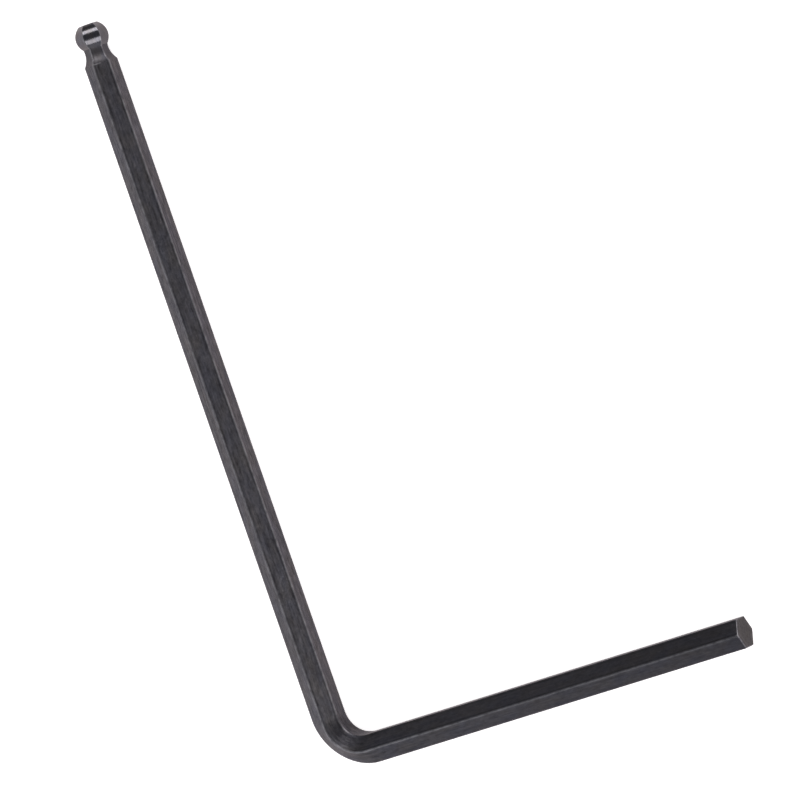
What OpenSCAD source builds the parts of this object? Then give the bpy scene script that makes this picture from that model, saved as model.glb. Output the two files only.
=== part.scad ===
// Hex key with a ball end on the long arm and a plain end on the short arm, in millimetres.
// It lies flat: the short arm runs along +X, the long arm along +Y, and the lower ridges are at z = 0.

/* [Bar] */
// Width across the flats of the hexagonal bar
across_flats = 5; // [4:0.05:6]
// Depth taken off each corner of the hexagon
corner_cut = 0.02; // [0.01:0.005:0.1]

/* [Arms] */
// Overall length of the long arm, from the outside of the bend to the tip of the ball
long_arm = 132; // [100:0.5:180]
// Overall length of the short arm, from the outside of the bend to its end face
short_arm = 81.7; // [50:0.1:120]
// Radius of the bend, along the middle of the bar
bend_radius = 7.3; // [5:0.1:12]

/* [Plain end] */
// Width of the bevel along each edge of the end face of the short arm
end_bevel = 0.15; // [0.05:0.01:0.5]

/* [Ball end] */
// How much narrower the ball is than the bar, across their flats
ball_clearance = 0.07; // [0.02:0.01:0.3]
// Distance from the tip to the widest place of the ball
ball_centre = 2.2; // [1.8:0.05:2.6]
// Width across the flats at the tip face
tip_flats = 2.84; // [2.2:0.02:3.4]
// Depth of the neck below the flats of the bar
neck_depth = 0.67; // [0.5:0.01:0.9]
// Distance from the tip to where the neck begins to widen
neck_end = 5.1; // [4.8:0.05:6]
// Radius of the grinding wheel that leaves the hollow curve from the neck up to the bar
flare_radius = 4; // [2:0.1:6]
// Angle at which that curve leaves the neck
flare_angle = 8; // [4:1:20]

/* [Hidden] */
$fn = 96;
BLACK_OXIDE = [0.2, 0.2, 0.22];
// The bar lies on one of its cut-off corners, and its height is the width across them
across_corners = across_flats / cos(30) - 2 * corner_cut;
ball_flats = across_flats - ball_clearance;
neck_flats = across_flats - 2 * neck_depth;
// The ball's outline rises along one arc from the tip face to its widest place
ball_rise = (ball_flats - tip_flats) / 2;
ball_radius = (ball_rise ^ 2 + ball_centre ^ 2) / (2 * ball_rise);
// Straight length of each arm, from the end of the bend
long_straight = long_arm - across_flats / 2 - bend_radius;
short_straight = short_arm - across_flats / 2 - bend_radius;

// Section of the bar: a hexagon with flats facing -X and +X and its sharp corners taken off
module bar_section() {
    half_cut = corner_cut * tan(60);
    polygon([for (turn = [30 : 60 : 330]) for (side = [-1, 1])
        across_corners / 2 * [cos(turn), sin(turn)] + side * half_cut * [-sin(turn), cos(turn)]]);
}

// Outline of the metal ground off beside one flat, from the hollow curve along the neck to the tip at 0
module neck_cut() {
    translate([-neck_end, neck_flats / 2]) square([neck_end, across_flats]);
    translate([flare_radius * sin(flare_angle) - neck_end, neck_flats / 2 + flare_radius * cos(flare_angle)])
        circle(r = flare_radius);
}

// Straight part of the long arm along +X, with the neck ground on all six flats, up to the middle of the ball
module long_bar() {
    difference() {
        rotate([90, 0, 90]) linear_extrude(long_straight - ball_centre) bar_section();
        for (side = [0 : 60 : 300])
            translate([long_straight, 0, 0]) rotate([side, 0, 0])
                linear_extrude(2 * across_flats, center = true) neck_cut();
    }
}

// Outline of the ball between one pair of flats: the overlap of two circles, with a flat tip at 0
module ball_outline() {
    intersection_for(side = [-1, 1])
        translate([-ball_centre, side * (ball_radius - ball_flats / 2)]) circle(r = ball_radius);
}

// Six-sided ball, ground on three pairs of flats 60 degrees apart
module ball() {
    intersection() {
        intersection_for(turn = [0, 60, 120])
            rotate([turn, 0, 0]) linear_extrude(2 * across_flats, center = true) ball_outline();
        translate([-2 * ball_centre, -across_flats, -across_flats])
            cube([2 * ball_centre, 2 * across_flats, 2 * across_flats]);
    }
}

// Quarter-circle bend round the origin, from the long arm at -X to the short arm at -Y
module bend() {
    rotate(180) rotate_extrude(angle = 90) translate([bend_radius, 0]) bar_section();
}

// Straight part of the short arm along +X, with a bevel along each edge of its end face
module short_bar() {
    rotate([90, 0, 90]) difference() {
        linear_extrude(short_straight) bar_section();
        for (side = [0 : 60 : 300])
            rotate(side) translate([across_flats / 2 - end_bevel, 0, short_straight]) rotate([0, -45, 0])
                translate([0, -across_flats, -across_flats]) cube(2 * across_flats);
    }
}

// The whole key, one bar bent at a right angle, with the middle of its box at x = 0 and y = 0
module hex_key() {
    bend_centre = [across_flats - short_arm, across_flats - long_arm] / 2 + [bend_radius, bend_radius];
    color(BLACK_OXIDE)
        translate([bend_centre.x, bend_centre.y, across_corners / 2]) {
            bend();
            translate([0, -bend_radius, 0]) short_bar();
            translate([-bend_radius, 0, 0]) rotate(90) {
                long_bar();
                translate([long_straight, 0, 0]) ball();
            }
        }
}

hex_key();
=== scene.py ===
"""A black hex key with a ball end, lying on a pale floor in soft studio light."""
from math import asin, atan2, cos, degrees, radians, sin, sqrt, tan

import bmesh
import bpy
from mathutils import Euler, Matrix, Vector


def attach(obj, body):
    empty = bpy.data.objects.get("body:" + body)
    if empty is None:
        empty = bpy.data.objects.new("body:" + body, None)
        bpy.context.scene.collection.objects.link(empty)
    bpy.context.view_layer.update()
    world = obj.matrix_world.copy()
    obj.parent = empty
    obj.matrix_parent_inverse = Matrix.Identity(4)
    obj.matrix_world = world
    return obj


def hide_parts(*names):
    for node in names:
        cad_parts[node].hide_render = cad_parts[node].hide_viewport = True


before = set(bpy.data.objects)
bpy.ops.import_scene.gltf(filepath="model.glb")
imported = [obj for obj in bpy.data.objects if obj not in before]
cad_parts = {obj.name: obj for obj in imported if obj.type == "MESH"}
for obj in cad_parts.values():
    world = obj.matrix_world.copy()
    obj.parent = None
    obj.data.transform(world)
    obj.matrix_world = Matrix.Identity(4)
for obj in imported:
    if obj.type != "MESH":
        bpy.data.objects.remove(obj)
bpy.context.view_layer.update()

# Sizes of the key, in metres
MM = 0.001
ACROSS_FLATS = 5 * MM
CORNER_TRIM = 0.02 * MM
LONG_ARM = 132 * MM
SHORT_ARM = 81.7 * MM
BEND_RADIUS = 7.3 * MM
END_ROUNDING = 0.17 * MM
BALL_FLATS = 4.93 * MM
BALL_CENTRE = 2.2 * MM
TIP_FLATS = 2.84 * MM
NECK_FLATS = 3.66 * MM
NECK_END = 5.1 * MM
FLARE_RADIUS = 4 * MM
FLARE_ANGLE = radians(8)

# How far the edges of the bar move in the middle of the bend, where its section gives way
RIDGE_SHIFT = 0.54 * MM
INNER_EDGE_SHIFT = 0.45 * MM
INNER_EDGE_MEAN, INNER_EDGE_TILT = 0.6, 0.4  # the upper inner edge moves fully, the lower one by a fifth
OUTER_EDGE_SHIFT = 0.2 * MM
SHIFT_POWER = 1.5  # above 1, the shift starts and ends more gently

# Places that follow from the sizes: the key's box is centred on x = 0 and y = 0
HALF_FLATS = ACROSS_FLATS / 2
HALF_STEP = radians(30)  # half of the turn from one flat to the next
CORNER_RADIUS = CORNER_TRIM / (1 / cos(HALF_STEP) - 1)
CORNER_REACH = HALF_FLATS / cos(HALF_STEP) - CORNER_TRIM
LONG_X = (ACROSS_FLATS - SHORT_ARM) / 2
SHORT_Y = (ACROSS_FLATS - LONG_ARM) / 2
BEND_CENTRE = Vector((LONG_X + BEND_RADIUS, SHORT_Y + BEND_RADIUS, CORNER_REACH))
BEND_LENGTH = BEND_RADIUS * radians(90)
PLAIN_END_X = SHORT_ARM / 2
TIP_Y = LONG_ARM / 2
BALL_RISE = (BALL_FLATS - TIP_FLATS) / 2
BALL_RADIUS = (BALL_RISE ** 2 + BALL_CENTRE ** 2) / (2 * BALL_RISE)
WHEEL_PLACE = NECK_END - FLARE_RADIUS * sin(FLARE_ANGLE)
WHEEL_HEIGHT = NECK_FLATS / 2 + FLARE_RADIUS * cos(FLARE_ANGLE)
FLARE_END = WHEEL_PLACE + sqrt(FLARE_RADIUS ** 2 - (WHEEL_HEIGHT - HALF_FLATS) ** 2)
# Flare and plain end on the straightened bar, in millimetres from the bend's start on the short arm
FLARE_ALONG = (BEND_LENGTH + TIP_Y - FLARE_END - BEND_CENTRE.y) / MM
PLAIN_END_ALONG = (BEND_CENTRE.x - PLAIN_END_X) / MM

# Fineness of the mesh
CORNER_SEGMENTS = 4
FLAT_CUTS = 10
ROUNDING_TURNS = (90, 68, 45, 22, 0)
SHORT_RINGS = 24
BEND_RINGS = 36
LONG_RINGS = 40
NECK_RINGS = 20
BALL_RINGS = 28
FLARE_RING = 0.15 * MM  # the last ring before the flare, on which the painted highlight along its edge fades
RIM_WIDTHS = (0.6 * MM, 0.85 * MM)  # rings inside the end face's edge, on which its worn rim and painted highlight fade
SHARP_ANGLE = radians(30)
TOUCHING = 0.001 * MM
HALVINGS = 40

# Directions round the bar's section, in degrees from the outer side of the bend over the top
TOP_RIDGE, UPPER_FLAT, INNER_EDGE = 90, 120, 150
SIDE_STEP = 60
BESIDE = 10  # counts as near a ridge
ON_RIDGE = 2  # counts as on its rounding

# Wear of the film and painted light at the edges: above 0 it is lighter, by wear and painted highlight; below 0
# it is darker, by painted shade
# End face rim: wear and painted highlight, with a painted glint at the top ridge's end and less underneath
RIM_WEAR_AND_HIGHLIGHT, RIM_TOP_WEAR_AND_GLINT, RIM_UNDER_WEAR_AND_HIGHLIGHT = 1, 3, 0.2
RIM_TURNS = (20, 160)
# Edge roundings of the bar: wear and painted highlight
INNER_EDGE_WEAR_AND_HIGHLIGHT, SHORT_INNER_EDGE_WEAR_AND_HIGHLIGHT, OTHER_EDGE_WEAR_AND_HIGHLIGHT = 1, 0.1, 0.3
# Painted highlight along the flare's edge
FLARE_HIGHLIGHT = 1.5
AT_FLARE = 0.01  # counts as on the flare's edge, in millimetres
# Painted glint on the upper inner edge in the bend, over a dim painted highlight
GLINT_LEAST, GLINT_STRENGTH = 0.2, 1.3
# Top ridge: wear and painted highlight, with more painted highlight round the bend
TOP_WEAR_AND_HIGHLIGHT, TOP_EXTRA_HIGHLIGHT = 1, 0.6
# Painted highlight on the flat beside the top ridge, on its outer side, fading over this reach in degrees
BESIDE_TOP_HIGHLIGHT, BESIDE_TOP_REACH = 0.55, 13
# Painted shade on the inner flat in the bend
INNER_FLAT_DARK = 1.3
# Angle in the bend where each painted glint, painted highlight and painted shade is strongest, and how far it
# reaches on both sides
GLINT = (58, 16)
TOP_EXTRA = (10, 130)
UPPER_FLAT_DARK = (55, 50)
INNER_FLAT = (62, 60)
# Painted shade line beside the ridges of the upper flat: its distance from them and its reach, in degrees
DARK_LINE = (6, 4.5)
# Painted shade on the upper inner flat in the bend grows from this turn over this span towards the inside
UPPER_FLAT_DARK_START, UPPER_FLAT_DARK_SPAN = 80, 28

# Numbers of the materials on the mesh
BAR, BALL, CUT_FACE, NECK = range(4)


def draw_out(bm, face, step, count=1):
    """Extrudes the bar's end face by step, count times, and returns the new end face."""
    for _ in range(count):
        made = bmesh.ops.extrude_face_region(bm, geom=[face, *face.edges])["geom"]
        face = next(item for item in made if isinstance(item, bmesh.types.BMFace))
        bmesh.ops.translate(bm, verts=face.verts, vec=step)
    return face


def plain_end(bm):
    """Makes the end face of the short arm, a hexagon with rounded corners, and its rounded edge."""
    stand_up = Matrix(((0, 0, 1, 0), (1, 0, 0, 0), (0, 1, 0, 0), (0, 0, 0, 1)))  # z to x, x to y, y to z
    axis = Matrix.Translation((PLAIN_END_X, SHORT_Y, CORNER_REACH))
    made = bmesh.ops.create_circle(bm, cap_ends=True, segments=6, radius=HALF_FLATS / cos(HALF_STEP),
                                   matrix=axis @ stand_up)
    bmesh.ops.bevel(bm, geom=made["verts"], offset=CORNER_RADIUS * tan(HALF_STEP), segments=CORNER_SEGMENTS,
                    profile=0.5, affect="VERTICES", material=-1)
    flats = [edge for edge in bm.edges if edge.calc_length() > HALF_FLATS / 2]
    bmesh.ops.subdivide_edges(bm, edges=flats, cuts=FLAT_CUTS)
    face = bm.faces[:][0]
    size = 1
    for last, turn in zip(ROUNDING_TURNS, ROUNDING_TURNS[1:]):
        inset = 1 - END_ROUNDING * (1 - cos(radians(last))) / HALF_FLATS
        bmesh.ops.scale(bm, verts=face.verts, vec=(1, inset / size, inset / size), space=axis.inverted())
        size = inset
        face = draw_out(bm, face, (END_ROUNDING * (sin(radians(turn)) - sin(radians(last))), 0, 0))
    bmesh.ops.scale(bm, verts=face.verts, vec=(1, 1 / size, 1 / size), space=axis.inverted())
    return face


def ball_height(s):
    """Distance from the bar's axis to a flat of the ball, at distance s from the tip."""
    return sqrt(BALL_RADIUS ** 2 - (s - BALL_CENTRE) ** 2) - BALL_RADIUS + BALL_FLATS / 2


def neck_height(s):
    """Distance from the bar's axis to a flat of the hollow neck and flare, at distance s from the tip."""
    return WHEEL_HEIGHT - sqrt(FLARE_RADIUS ** 2 - (s - WHEEL_PLACE) ** 2)


def neck_meets_ball():
    """Distance from the tip to the crease between the ball and the neck, by halving."""
    near, far = BALL_CENTRE + HALF_FLATS / 2, WHEEL_PLACE
    for _ in range(HALVINGS):
        middle = (near + far) / 2
        near, far = (middle, far) if ball_height(middle) > neck_height(middle) else (near, middle)
    return near


def ball_end(bm, face, crease):
    """Grinds the flare, the neck and the ball on the end of the long arm, as rings of the bar's own section."""
    neck = [FLARE_END + (crease - FLARE_END) * ring / NECK_RINGS for ring in range(NECK_RINGS + 1)]
    start, end = asin((crease - BALL_CENTRE) / BALL_RADIUS), -asin(BALL_CENTRE / BALL_RADIUS)
    ball = [BALL_CENTRE + BALL_RADIUS * sin(start + (end - start) * ring / BALL_RINGS)
            for ring in range(1, BALL_RINGS + 1)]
    outline = [(s, neck_height(s)) for s in neck] + [(s, ball_height(s)) for s in ball]
    for (last, was), (s, height) in zip(outline, outline[1:]):
        face = draw_out(bm, face, (0, last - s, 0))
        bmesh.ops.scale(bm, verts=face.verts, vec=(height / was, 1, height / was),
                        space=Matrix.Translation((-LONG_X, 0, -CORNER_REACH)))


def on_plain_end(face):
    """True for the faces that lie in the end face of the short arm."""
    return face.calc_center_median().x > PLAIN_END_X - TOUCHING


def end_rim(bm):
    """Draws the two rings inside the edge of the end face, and returns the face within them."""
    face = next(filter(on_plain_end, bm.faces))
    size = 1
    for width in RIM_WIDTHS:
        face = draw_out(bm, face, (0, 0, 0))
        inside = 1 - width / HALF_FLATS
        bmesh.ops.scale(bm, verts=face.verts, vec=(1, inside / size, inside / size),
                        space=Matrix.Translation((0, -SHORT_Y, -CORNER_REACH)))
        size = inside
    return face


def straightened(point):
    """Place of a point on the bar before it was bent: across, up and along, in millimetres."""
    off = point - BEND_CENTRE
    if off.y > 0:
        across, along = -off.x - BEND_RADIUS, BEND_LENGTH + off.y
    elif off.x > 0:
        across, along = -off.y - BEND_RADIUS, -off.x
    else:
        across, along = off.xy.length - BEND_RADIUS, BEND_RADIUS * atan2(-off.x, -off.y)
    return Vector((across, off.z, along)) / MM


def give_way(vert):
    """Moves the bar's edges in the bend: outwards, but for the outer ones, which go inwards."""
    off = vert.co - BEND_CENTRE
    if off.x >= 0 or off.y >= 0:
        return
    through = sin(2 * atan2(-off.x, -off.y)) ** SHIFT_POWER
    side_edge = HALF_FLATS * tan(HALF_STEP)
    share = max(0, (abs(off.z) - side_edge) / (CORNER_REACH - side_edge))
    if off.xy.length > BEND_RADIUS:
        at_side = -OUTER_EDGE_SHIFT
    else:
        height = max(-1, min(1, off.z / side_edge))
        at_side = INNER_EDGE_SHIFT * (INNER_EDGE_MEAN + INNER_EDGE_TILT * height)
    outwards = Vector((off.x, off.y, 0)).normalized()
    vert.co += outwards * through * (share * RIDGE_SHIFT + (1 - share) * at_side)


def fade(value, middle, reach):
    """1 in the middle, falling evenly to 0 at the reach on both sides of it."""
    return max(0, 1 - abs(value - middle) / reach)


def edge_wear_and_highlight(turn, in_bend):
    """Wear and painted highlight on the rounding of one of the bar's six edges, with a painted glint on the
    upper inner edge in the bend.
    """
    # Top ridge: wear and painted highlight, with more painted highlight round the bend
    if abs(turn - TOP_RIDGE) < BESIDE:
        return TOP_WEAR_AND_HIGHLIGHT + TOP_EXTRA_HIGHLIGHT * fade(in_bend, *TOP_EXTRA)
    if abs(turn - INNER_EDGE) >= BESIDE:
        return OTHER_EDGE_WEAR_AND_HIGHLIGHT
    # Upper inner edge in the bend: a painted glint over a dim painted highlight
    if 0 < in_bend < 90:
        return GLINT_LEAST + GLINT_STRENGTH * fade(in_bend, *GLINT)
    return SHORT_INNER_EDGE_WEAR_AND_HIGHLIGHT if in_bend < 0 else INNER_EDGE_WEAR_AND_HIGHLIGHT


def wear_and_painted_light_at(place):
    """Wear of the film and painted light at a place of the straightened bar: wear and painted highlight above
    0, painted shade below.
    """
    turn = degrees(atan2(place.y, place.x)) % 360
    off_ridge = abs(turn % SIDE_STEP - SIDE_STEP / 2)
    in_bend = degrees(place.z * MM / BEND_RADIUS)
    # End face rim: wear and painted highlight
    if place.z < PLAIN_END_ALONG + END_ROUNDING / MM:
        if abs(turn - TOP_RIDGE) < BESIDE:
            return RIM_TOP_WEAR_AND_GLINT
        return RIM_WEAR_AND_HIGHLIGHT if RIM_TURNS[0] < turn < RIM_TURNS[1] else RIM_UNDER_WEAR_AND_HIGHLIGHT
    # Edge roundings: wear and painted highlight, with a painted glint in the bend
    if off_ridge < ON_RIDGE:
        return edge_wear_and_highlight(turn, in_bend)
    # Painted highlight along the flare's edge
    if TOP_RIDGE < turn < UPPER_FLAT + ON_RIDGE and abs(place.z - FLARE_ALONG) < AT_FLARE:
        return FLARE_HIGHLIGHT
    # Painted shade on the upper inner flat: a dark line beside its ridges, and darker towards the inside of the
    # bend
    if TOP_RIDGE < turn < INNER_EDGE:
        towards_inside = (turn - UPPER_FLAT_DARK_START) / UPPER_FLAT_DARK_SPAN
        return -max(fade(off_ridge, *DARK_LINE), fade(in_bend, *UPPER_FLAT_DARK) * towards_inside)
    # Painted highlight on the flat beside the top ridge, on its outer side
    if TOP_RIDGE - SIDE_STEP / 2 < turn < TOP_RIDGE:
        return max(0, BESIDE_TOP_HIGHLIGHT - off_ridge / BESIDE_TOP_REACH)
    # Painted shade on the inner flat in the bend
    if INNER_EDGE < turn < INNER_EDGE + SIDE_STEP:
        return -INNER_FLAT_DARK * fade(in_bend, *INNER_FLAT)
    return 0


def material_at(face, crease):
    """Number of the material of a face, by its place on the key."""
    middle = face.calc_center_median()
    if on_plain_end(face):
        return CUT_FACE
    if middle.y > TIP_Y - crease:
        return BALL
    return NECK if middle.y > TIP_Y - FLARE_END else BAR


def hex_key():
    """The whole key: a hexagonal bar drawn out from its plain end, bent, and ground to a ball."""
    bm = bmesh.new()
    face = plain_end(bm)
    short_step = (BEND_CENTRE.x - PLAIN_END_X + END_ROUNDING) / SHORT_RINGS
    face = draw_out(bm, face, (short_step, 0, 0), SHORT_RINGS)
    turned = bmesh.ops.spin(bm, geom=[face, *face.edges], cent=BEND_CENTRE, axis=(0, 0, -1),
                            angle=radians(90), steps=BEND_RINGS)
    face = next(item for item in turned["geom_last"] if isinstance(item, bmesh.types.BMFace))
    long_step = (TIP_Y - FLARE_END - FLARE_RING - BEND_CENTRE.y) / LONG_RINGS
    face = draw_out(bm, face, (0, long_step, 0), LONG_RINGS)
    face = draw_out(bm, face, (0, FLARE_RING, 0))
    crease = neck_meets_ball()
    ball_end(bm, face, crease)
    bmesh.ops.holes_fill(bm, edges=[edge for edge in bm.edges if edge.is_boundary])
    end_face = end_rim(bm)
    bmesh.ops.recalc_face_normals(bm, faces=bm.faces)
    bm.normal_update()

    drawn = bm.verts.layers.float_vector.new("drawn")
    # The ridge attribute holds wear with painted highlights above 0 and painted shade below 0
    ridge = bm.verts.layers.float.new("ridge")
    for vert in bm.verts:
        vert[drawn] = straightened(vert.co)
        vert[ridge] = wear_and_painted_light_at(vert[drawn])
        give_way(vert)
    for vert in end_face.verts:
        vert[ridge] = 0
    for face in bm.faces:
        face.smooth = True
        face.material_index = material_at(face, crease)
    for edge in bm.edges:
        edge.smooth = edge.calc_face_angle(0) < SHARP_ANGLE

    mesh = bpy.data.meshes.new("hex_key_steel")
    bm.to_mesh(mesh)
    bm.free()
    piece = bpy.data.objects.new("hex_key_steel", mesh)
    bpy.context.collection.objects.link(piece)
    return piece


def node(tree, kind, inputs=(), **settings):
    """Adds a node, sets its settings, and links or sets its inputs by name or number."""
    made = tree.nodes.new(kind)
    for name, value in settings.items():
        setattr(made, name, value)
    for name, value in dict(inputs).items():
        if isinstance(value, bpy.types.NodeSocket):
            tree.links.new(value, made.inputs[name])
        else:
            made.inputs[name].default_value = value
    return made


def maths(tree, operation, first, second, clamp=False):
    """Output of a sum, product or the like of two values."""
    return node(tree, "ShaderNodeMath", {0: first, 1: second}, operation=operation, use_clamp=clamp).outputs[0]


def ramp(tree, value, start, end, low, high, **settings):
    """Output that goes from low to high while the value goes from start to end."""
    return node(tree, "ShaderNodeMapRange", {"Value": value, "From Min": start, "From Max": end,
                                             "To Min": low, "To Max": high}, **settings).outputs["Result"]


def mix_colours(tree, share, first, second, **settings):
    """Output that mixes two colours by a share."""
    return node(tree, "ShaderNodeMix", {"Factor": share, 6: first, 7: second}, data_type="RGBA",
                **settings).outputs[2]


def mix_values(tree, share, first, second):
    """Output that mixes two values by a share."""
    return node(tree, "ShaderNodeMix", {"Factor": share, 2: first, 3: second}, data_type="FLOAT").outputs[0]


def dot_product(tree, first, second):
    """Output of how far one direction follows another."""
    return node(tree, "ShaderNodeVectorMath", {0: first, 1: second}, operation="DOT_PRODUCT").outputs["Value"]


def oxide_film_group():
    """Group that gives the mottled, streaked look of black oxide on drawn steel, with worn edges, the painted
    highlights and painted shade held in the ridge attribute, and a painted shade along the bar.
    """
    group = bpy.data.node_groups.new("Oxide Film", "ShaderNodeTree")
    for name in ("Streaks", "Mottle", "Wear And Highlight"):
        group.interface.new_socket(name, in_out="INPUT", socket_type="NodeSocketFloat").default_value = 1.0
    for name in ("Tone", "Tint", "Wear And Highlight", "Height", "Level"):
        group.interface.new_socket(name, in_out="OUTPUT", socket_type="NodeSocketFloat")
    given = group.nodes.new("NodeGroupInput").outputs
    result = group.nodes.new("NodeGroupOutput").inputs
    bar = node(group, "ShaderNodeAttribute", attribute_name="drawn").outputs["Vector"]
    ridge = node(group, "ShaderNodeAttribute", attribute_name="ridge").outputs["Fac"]
    along = node(group, "ShaderNodeSeparateXYZ", {"Vector": bar}).outputs["Z"]

    def noise(place, scale, detail, roughness):
        return node(group, "ShaderNodeTexNoise", {"Vector": place, "Scale": scale, "Detail": detail,
                                                  "Roughness": roughness}).outputs["Fac"]

    lengthwise = node(group, "ShaderNodeMapping", {"Vector": bar, "Scale": (1, 1, 0.06)}).outputs["Vector"]
    blotched = node(group, "ShaderNodeMapping", {"Vector": bar, "Scale": (1, 1, 0.45)}).outputs["Vector"]
    streaks = noise(lengthwise, 3, 3, 0.6)
    mottle = noise(blotched, 1.7, 5, 0.7)
    patches = noise(blotched, 0.45, 3, 0.6)
    pits = node(group, "ShaderNodeTexVoronoi", {"Vector": bar, "Scale": 2.6, "Randomness": 1.0})
    pit = ramp(group, pits.outputs["Distance"], 0.05, 0.22, 0, 1)

    streak_part = maths(group, "MULTIPLY", maths(group, "SUBTRACT", streaks, 0.5), given["Streaks"])
    mottle_part = maths(group, "MULTIPLY", maths(group, "SUBTRACT", mottle, 0.5), given["Mottle"])
    calm_on_short_arm = ramp(group, along, -15, 30, 0.5, 1)
    both = maths(group, "MULTIPLY", maths(group, "ADD", streak_part, mottle_part), calm_on_short_arm)
    # Painted shade: below 0, the ridge attribute darkens the tone
    painted_shade = maths(group, "MULTIPLY", maths(group, "MINIMUM", ridge, 0.0), 0.25)
    tone = maths(group, "ADD", maths(group, "ADD", both, painted_shade), 0.5, clamp=True)
    # Wear and painted highlight: above 0, the ridge attribute lightens towards the worn colour, in patches
    wear_and_highlight_patches = ramp(group, mottle, 0.35, 0.6, 0.35, 1)
    wear_and_highlight_share = maths(group, "MULTIPLY", maths(group, "MAXIMUM", ridge, 0.0), wear_and_highlight_patches)
    # Painted shade along the bar: the short arm lighter near the bend and darker towards its plain end, the
    # long arm a little darker from the bend on
    short_arm_painted_shade = ramp(group, along, -68, 0, 0.75, 1.06)
    long_arm_painted_shade = ramp(group, along, 0, 25, 1, 0.89)

    group.links.new(tone, result["Tone"])
    group.links.new(ramp(group, patches, 0.36, 0.64, 0, 1), result["Tint"])
    group.links.new(maths(group, "MULTIPLY", wear_and_highlight_share, given["Wear And Highlight"], clamp=True), result["Wear And Highlight"])
    group.links.new(maths(group, "ADD", both, maths(group, "MULTIPLY", pit, 0.35)), result["Height"])
    # Level carries the painted shade along the bar
    group.links.new(maths(group, "MULTIPLY", short_arm_painted_shade, long_arm_painted_shade), result["Level"])
    return group


def black_oxide(name, film, streaks, mottle, wear_and_highlight, dark, light, worn_and_highlit, smooth, rough, depth):
    """Black oxide steel: dark and light ends of its colour, the colour of its worn and painted-highlit edges,
    and its range of roughness; painted shade along the bar scales the colour.
    """
    cool, warm = (0.975, 0.98, 1.05, 1), (1.055, 1.01, 0.965, 1)
    material = bpy.data.materials.new(name)
    material.use_nodes = True
    tree = material.node_tree
    shader = tree.nodes["Principled BSDF"]
    shader.inputs["Metallic"].default_value = 1.0
    group = node(tree, "ShaderNodeGroup", node_tree=film)
    for what, value in (("Streaks", streaks), ("Mottle", mottle), ("Wear And Highlight", wear_and_highlight)):
        group.inputs[what].default_value = value
    look = group.outputs
    colour = mix_colours(tree, look["Tone"], (*dark, 1), (*light, 1))
    hue = mix_colours(tree, look["Tint"], cool, warm)
    tinted = mix_colours(tree, 1.0, colour, hue, blend_type="MULTIPLY")
    # Wear and painted highlights on the edges, in their own colour
    edged = mix_colours(tree, look["Wear And Highlight"], tinted, (*worn_and_highlit, 1))
    # Painted shade along the bar scales the colour
    levelled = node(tree, "ShaderNodeVectorMath", {0: edged, "Scale": look["Level"]}, operation="SCALE")
    tree.links.new(levelled.outputs["Vector"], shader.inputs["Base Color"])
    tree.links.new(ramp(tree, look["Tone"], 0, 1, rough, smooth), shader.inputs["Roughness"])
    bump = node(tree, "ShaderNodeBump", {"Height": look["Height"], "Strength": 1.0, "Distance": depth})
    tree.links.new(bump.outputs["Normal"], shader.inputs["Normal"])
    return material


def strip_lamp(name, turn, size, power):
    """Strip lamp over the long arm: turn is its angle from the arm's upper flat towards the ball."""
    distance = 2
    upper_flat = Vector((sin(HALF_STEP), 0, cos(HALF_STEP)))
    along = Vector((0, 1, 0))
    across = upper_flat.cross(along)
    out = upper_flat * cos(radians(turn)) + along * sin(radians(turn))
    light = bpy.data.lights.new(name, "AREA")
    light.shape = "RECTANGLE"
    light.size, light.size_y = size
    light.energy = power
    light.color = (1, 0.985, 0.96)
    made = bpy.data.objects.new(name, light)
    facing = Matrix((across, out.cross(across), out)).transposed().to_4x4()
    made.matrix_world = Matrix.Translation(out * distance) @ facing
    bpy.context.collection.objects.link(made)


def studio_world():
    """White background for the camera, in a studio bright at the horizon and on the left, dim overhead."""
    world = bpy.data.worlds.new("Studio")
    bpy.context.scene.world = world
    world.use_nodes = True
    tree = world.node_tree
    tree.nodes.clear()
    way = node(tree, "ShaderNodeTexCoord").outputs["Generated"]
    path = node(tree, "ShaderNodeLightPath").outputs
    overhead = dot_product(tree, way, (0, 0.35, 1))
    leftward = dot_product(tree, way, (-1, 0, 0.1))
    room = ramp(tree, overhead, 0.12, 0.56, 1.05, 0.29, interpolation_type="SMOOTHSTEP")
    softbox = ramp(tree, leftward, 0.6, 0.95, 0, 0.55, interpolation_type="SMOOTHSTEP")
    seen = maths(tree, "MAXIMUM", path["Is Camera Ray"], path["Is Transmission Ray"])
    strength = mix_values(tree, seen, maths(tree, "ADD", room, softbox), 1.0)
    colour = mix_colours(tree, seen, (0.95, 0.965, 1, 1), (1, 1, 1, 1))
    light = node(tree, "ShaderNodeBackground", {"Color": colour, "Strength": strength})
    out = node(tree, "ShaderNodeOutputWorld")
    tree.links.new(light.outputs[0], out.inputs["Surface"])


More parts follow.
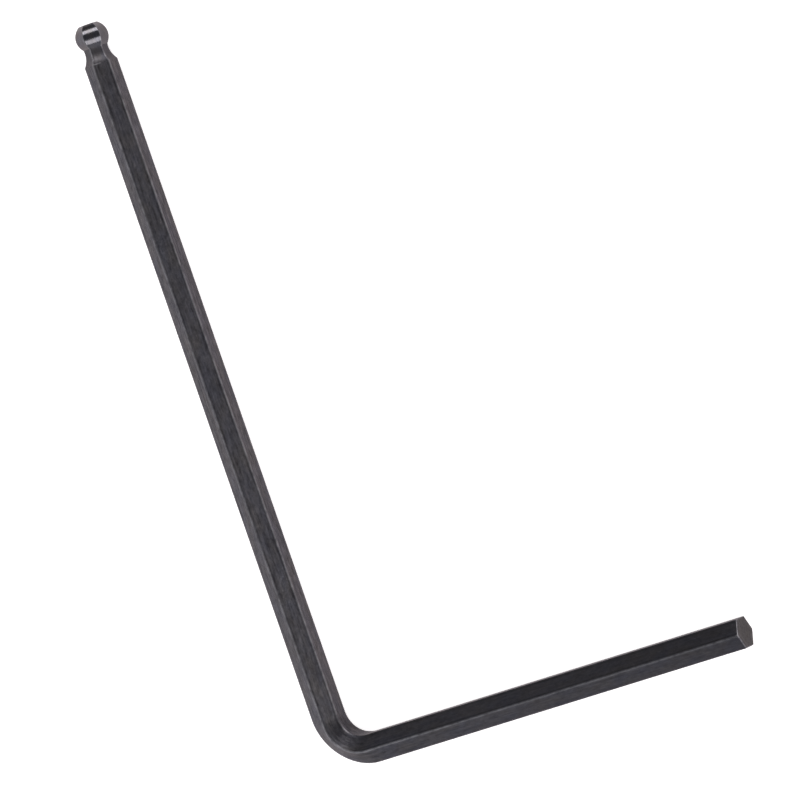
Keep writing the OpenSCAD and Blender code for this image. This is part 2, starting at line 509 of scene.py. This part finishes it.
def floor():
    """Large pale floor that keeps the key's shadow."""
    reach = 6
    glow_in_reflections, glow_in_view = 0.3, 0.66
    bm = bmesh.new()
    bmesh.ops.create_grid(bm, x_segments=1, y_segments=1, size=reach)
    mesh = bpy.data.meshes.new("floor")
    bm.to_mesh(mesh)
    bm.free()
    made = bpy.data.objects.new("floor", mesh)
    bpy.context.collection.objects.link(made)
    material = bpy.data.materials.new("pale floor")
    material.use_nodes = True
    tree = material.node_tree
    shader = tree.nodes["Principled BSDF"]
    shader.inputs["Base Color"].default_value = (0.93, 0.885, 0.9, 1)
    shader.inputs["Roughness"].default_value = 0.9
    shader.inputs["Specular IOR Level"].default_value = 0.0
    path = node(tree, "ShaderNodeLightPath").outputs
    glow_colour = mix_colours(tree, path["Is Glossy Ray"], (1, 1, 1, 1), (1, 0.85, 0.88, 1))
    tree.links.new(glow_colour, shader.inputs["Emission Color"])
    seen = maths(tree, "MAXIMUM", path["Is Camera Ray"], path["Is Glossy Ray"])
    level = mix_values(tree, path["Is Camera Ray"], glow_in_reflections, glow_in_view)
    tree.links.new(maths(tree, "MULTIPLY", seen, level), shader.inputs["Emission Strength"])
    mesh.materials.append(material)


def camera():
    """Long lens, high over the key's inner side."""
    lens = bpy.data.cameras.new("camera")
    lens.lens = 360
    lens.sensor_width = 36
    lens.clip_end = 20
    made = bpy.data.objects.new("camera", lens)
    made.location = (0.63672, 0.01686, 1.15565)
    made.rotation_euler = Euler((radians(-11.4368), radians(26.9918), radians(-21.6324)))
    bpy.context.collection.objects.link(made)
    bpy.context.scene.camera = made


camera()
studio_world()
floor()
strip_lamp("ball side strip", turn=45, size=(1.2, 0.72), power=19)
strip_lamp("bend side strip", turn=-28, size=(1.2, 1.05), power=18)

film = oxide_film_group()
key = hex_key()
# In the order of the materials' numbers: bar, ball, cut face, neck
for finish in (
    black_oxide("black oxide on drawn bar", film, streaks=1.2, mottle=1.8, wear_and_highlight=0.7,
                dark=(0.024, 0.0235, 0.027), light=(0.098, 0.096, 0.106), worn_and_highlit=(0.24, 0.236, 0.252),
                smooth=0.33, rough=0.45, depth=0.045 * MM),
    black_oxide("black oxide on ground steel", film, streaks=0.5, mottle=1.4, wear_and_highlight=0.6,
                dark=(0.058, 0.057, 0.061), light=(0.111, 0.108, 0.115), worn_and_highlit=(0.2, 0.197, 0.205),
                smooth=0.13, rough=0.22, depth=0.006 * MM),
    black_oxide("black oxide on cut face", film, streaks=1.0, mottle=3.0, wear_and_highlight=0.8,
                dark=(0.018, 0.0173, 0.0177), light=(0.063, 0.0597, 0.0607), worn_and_highlit=(0.072, 0.069, 0.07),
                smooth=0.3, rough=0.42, depth=0.015 * MM),
    black_oxide("black oxide on neck", film, streaks=0.5, mottle=1.6, wear_and_highlight=0.8,
                dark=(0.034, 0.033, 0.0375), light=(0.076, 0.074, 0.081), worn_and_highlit=(0.24, 0.236, 0.25),
                smooth=0.36, rough=0.48, depth=0.01 * MM),
):
    key.data.materials.append(finish)
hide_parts("hex_key")
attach(key, "root")

bpy.context.scene.view_settings.view_transform = "Standard"
